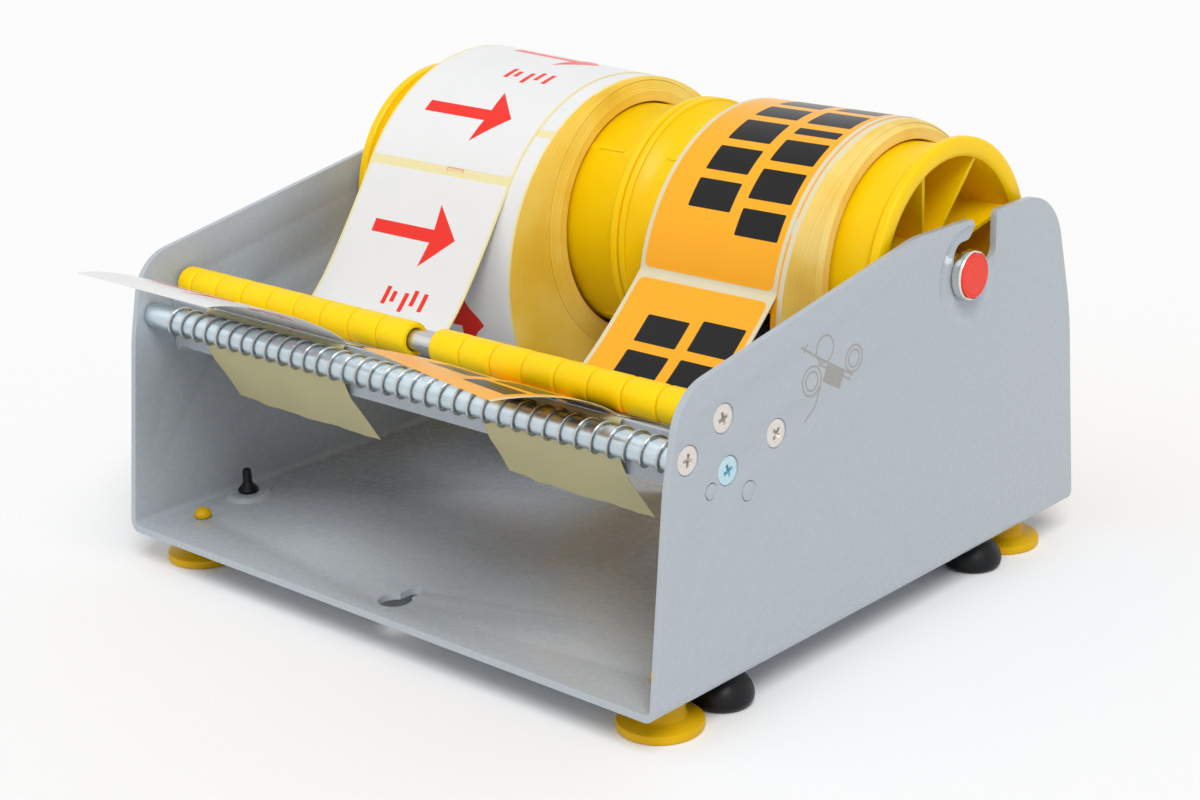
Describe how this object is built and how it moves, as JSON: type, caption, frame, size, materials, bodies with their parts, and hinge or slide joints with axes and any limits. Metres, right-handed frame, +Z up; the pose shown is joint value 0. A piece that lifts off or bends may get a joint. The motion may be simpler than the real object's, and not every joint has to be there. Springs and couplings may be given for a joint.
{
  "type": "label dispenser",
  "caption": "Bench or wall label dispenser: folded steel frame, label rolls on plastic hubs over a lift-out shaft, press rings, peel edge and spring roller.",
  "frame": {"origin": "centre of the bounding box on the plane the feet stand on", "axes": "+X to the right seen from the front where the labels come out, +Y to the back, +Z up"},
  "size_m": [0.2154, 0.2189, 0.1402],
  "materials": {
    "painted_sheet": "light grey powder coat, satin",
    "rod_steel": "bright drawn steel",
    "tube_zinc": "bright blue zinc plate",
    "spring_steel": "bright stainless wire",
    "screw_nickel": "nickel or blue zinc plate",
    "knob_chrome": "polished",
    "cap_red": "smooth",
    "hub_yellow": "smooth moulded",
    "foot_yellow": "smooth moulded",
    "cup_black": "smooth",
    "core_card": "brown board, taken as a matt plastic",
    "white_paper": "coated label paper on its liner",
    "orange_paper": "coated label paper on its liner",
    "liner_paper": "silicone-coated liner paper"
  },
  "bodies": {
    "frame": {"folded_frame": "painted_sheet", "peel_plate": "painted_sheet", "press_rod": "rod_steel", "guide_rod": "rod_steel", "spring_rod": "rod_steel", "left_press_rod_screw": "screw_nickel", "left_guide_rod_screw": "screw_nickel", "left_spring_rod_screw": "screw_nickel", "left_peel_plate_screw": "screw_nickel", "right_press_rod_screw": "screw_nickel", "right_guide_rod_screw": "screw_nickel", "right_spring_rod_screw": "screw_nickel", "right_peel_plate_screw": "screw_nickel", "front_left_foot": "foot_yellow", "front_right_foot": "foot_yellow", "rear_left_foot": "foot_yellow", "rear_right_foot": "foot_yellow", "front_left_suction_cup": "cup_black", "front_right_suction_cup": "cup_black", "rear_left_suction_cup": "cup_black", "rear_right_suction_cup": "cup_black", "white_label_web": "white_paper", "white_peeled_label": "white_paper", "white_liner_tail": "liner_paper", "orange_label_web": "orange_paper", "orange_peeled_label": "orange_paper", "orange_liner_tail": "liner_paper"},
    "reel_shaft": {"reel_shaft": "rod_steel", "left_knob": "knob_chrome", "left_knob_cap": "cap_red", "right_knob": "knob_chrome", "right_knob_cap": "cap_red"},
    "white_hubs": {"left_white_hub": "hub_yellow", "middle_white_hub": "hub_yellow"},
    "white_roll": {"white_roll_core": "core_card", "white_roll_windings": "white_paper"},
    "orange_hubs": {"middle_orange_hub": "hub_yellow", "right_orange_hub": "hub_yellow"},
    "orange_roll": {"orange_roll_core": "core_card", "orange_roll_windings": "orange_paper"},
    "left_press_rings": {"left_end_ring": "hub_yellow", "left_press_ring_1": "hub_yellow", "left_press_ring_2": "hub_yellow", "left_press_ring_3": "hub_yellow", "left_press_ring_4": "hub_yellow", "left_press_ring_5": "hub_yellow", "left_press_ring_6": "hub_yellow", "left_press_ring_7": "hub_yellow", "left_press_ring_8": "hub_yellow"},
    "right_press_rings": {"right_press_ring_1": "hub_yellow", "right_press_ring_2": "hub_yellow", "right_press_ring_3": "hub_yellow", "right_press_ring_4": "hub_yellow", "right_press_ring_5": "hub_yellow", "right_press_ring_6": "hub_yellow", "right_press_ring_7": "hub_yellow", "right_press_ring_8": "hub_yellow"},
    "spring_roller": {"spring_roller_tube": "tube_zinc", "roller_spring": "spring_steel"},
    "guide_roller": {"guide_roller_tube": "tube_zinc"}
  },
  "joints": [
    {"name": "reel_shaft_spin", "type": "hinge", "parent": "frame", "child": "reel_shaft", "pos_m": [0, 0.04981, 0.0952], "axis": [1, 0, 0], "continuous": true},
    {"name": "white_hub_spin", "type": "hinge", "parent": "frame", "child": "white_hubs", "pos_m": [0, 0.04981, 0.0952], "axis": [1, 0, 0], "continuous": true},
    {"name": "white_roll_spin", "type": "hinge", "parent": "frame", "child": "white_roll", "pos_m": [0, 0.04981, 0.0948], "axis": [1, 0, 0], "continuous": true},
    {"name": "orange_hub_spin", "type": "hinge", "parent": "frame", "child": "orange_hubs", "pos_m": [0, 0.04981, 0.0952], "axis": [1, 0, 0], "continuous": true},
    {"name": "orange_roll_spin", "type": "hinge", "parent": "frame", "child": "orange_roll", "pos_m": [0, 0.04981, 0.0948], "axis": [1, 0, 0], "continuous": true},
    {"name": "left_press_ring_spin", "type": "hinge", "parent": "frame", "child": "left_press_rings", "pos_m": [0, -0.05579, 0.0827], "axis": [1, 0, 0], "continuous": true},
    {"name": "right_press_ring_spin", "type": "hinge", "parent": "frame", "child": "right_press_rings", "pos_m": [0, -0.05579, 0.0827], "axis": [1, 0, 0], "continuous": true},
    {"name": "spring_roller_spin", "type": "hinge", "parent": "frame", "child": "spring_roller", "pos_m": [0, -0.06939, 0.0757], "axis": [1, 0, 0], "continuous": true},
    {"name": "guide_roller_spin", "type": "hinge", "parent": "frame", "child": "guide_roller", "pos_m": [0, -0.03499, 0.073], "axis": [1, 0, 0], "continuous": true}
  ],
  "couplings": [
    {"joint": "white_roll_spin", "follows": "white_hub_spin", "ratio": 0.97421},
    {"joint": "orange_roll_spin", "follows": "orange_hub_spin", "ratio": 0.97421}
  ]
}
